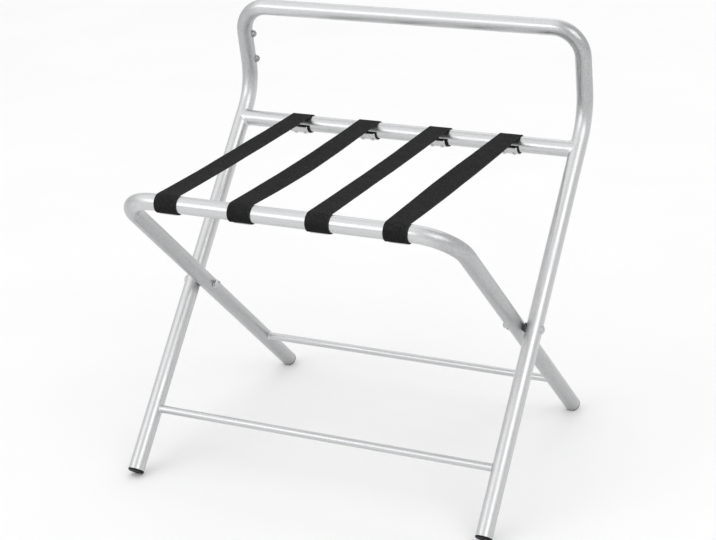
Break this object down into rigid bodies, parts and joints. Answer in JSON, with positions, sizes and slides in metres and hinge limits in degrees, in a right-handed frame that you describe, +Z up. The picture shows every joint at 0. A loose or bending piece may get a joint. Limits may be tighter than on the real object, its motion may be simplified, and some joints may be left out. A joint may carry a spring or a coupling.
{
  "type": "luggage rack",
  "caption": "Folding tubular luggage rack with crossed legs, a low backrest hoop and webbing straps across its two top rails.",
  "frame": {"origin": "On the floor, at the middle of the space that the open rack takes up.", "axes": "+Z up; +Y towards the backrest; -Y towards the front rail; +X to the right seen from the front. Millimetres in the source, metres here. Rest pose: open, straps taut."},
  "size_m": [0.607, 0.509, 0.657],
  "materials": {
    "frame_tube": "polished",
    "stretcher_tube": "polished",
    "fastener": "satin, domed heads",
    "clamp_plate": "satin sheet",
    "spacer": "moulded, matt",
    "end_plug": "moulded, matt, ribbed shank",
    "webbing": "plain fine weave"
  },
  "bodies": {
    "back_frame": {"back_frame_tube": "frame_tube", "rear_rail": "frame_tube", "front_stretcher": "stretcher_tube", "pivot_bolt_left": "fastener", "pivot_bolt_right": "fastener", "pivot_spacer_left": "spacer", "pivot_spacer_right": "spacer", "pivot_washer_left": "fastener", "pivot_washer_right": "fastener", "pivot_nut_left": "fastener", "pivot_nut_right": "fastener", "front_foot_left": "end_plug", "front_foot_right": "end_plug", "hoop_stud_upper": "fastener", "hoop_stud_lower": "fastener", "strap_1": "webbing", "strap_2": "webbing", "strap_3": "webbing", "strap_4": "webbing", "rear_clamp_1": "clamp_plate", "rear_clamp_2": "clamp_plate", "rear_clamp_3": "clamp_plate", "rear_clamp_4": "clamp_plate", "rear_rivets": "fastener"},
    "seat_frame": {"seat_frame_tube": "frame_tube", "rear_stretcher": "stretcher_tube", "rear_foot_left": "end_plug", "rear_foot_right": "end_plug", "front_clamp_1": "clamp_plate", "front_clamp_2": "clamp_plate", "front_clamp_3": "clamp_plate", "front_clamp_4": "clamp_plate", "front_rivets": "fastener"}
  },
  "joints": [
    {"name": "fold", "type": "hinge", "parent": "back_frame", "child": "seat_frame", "pos_m": [0, -0.00804, 0.246], "axis": [-1, 0, 0], "range_deg": [0, 83], "deforming": ["strap_1", "strap_2", "strap_3", "strap_4"]}
  ]
}
